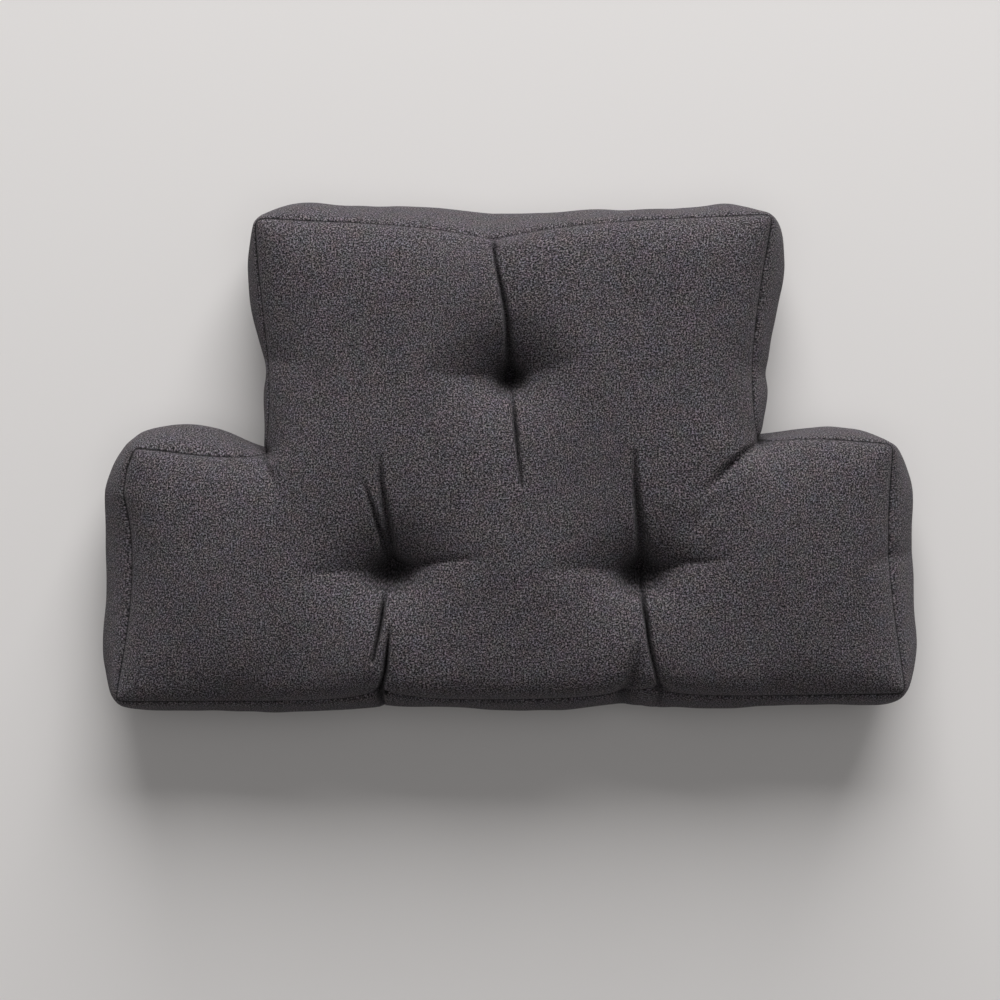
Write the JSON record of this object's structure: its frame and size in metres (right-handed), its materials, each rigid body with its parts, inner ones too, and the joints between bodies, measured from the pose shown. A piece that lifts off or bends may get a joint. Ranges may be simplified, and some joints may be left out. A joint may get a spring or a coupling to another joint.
{
  "type": "lumbar support cushion",
  "caption": "Stepped lumbar support cushion: a wide foot with two side wings and a narrower head, boxed sides, and a face drawn in at blind tufts. It sits behind the lower back.",
  "frame": {"origin": "middle of the footprint, on the surface that the cushion lies on with its face up", "axes": "+X towards the right wing as seen facing the cushion, +Y towards the narrow head end, +Z out of the tufted face"},
  "size_m": [0.599, 0.371, 0.1119],
  "materials": {
    "cover_cloth": "matte"
  },
  "bodies": {
    "root": {"cushion": "cover_cloth"}
  },
  "joints": []
}
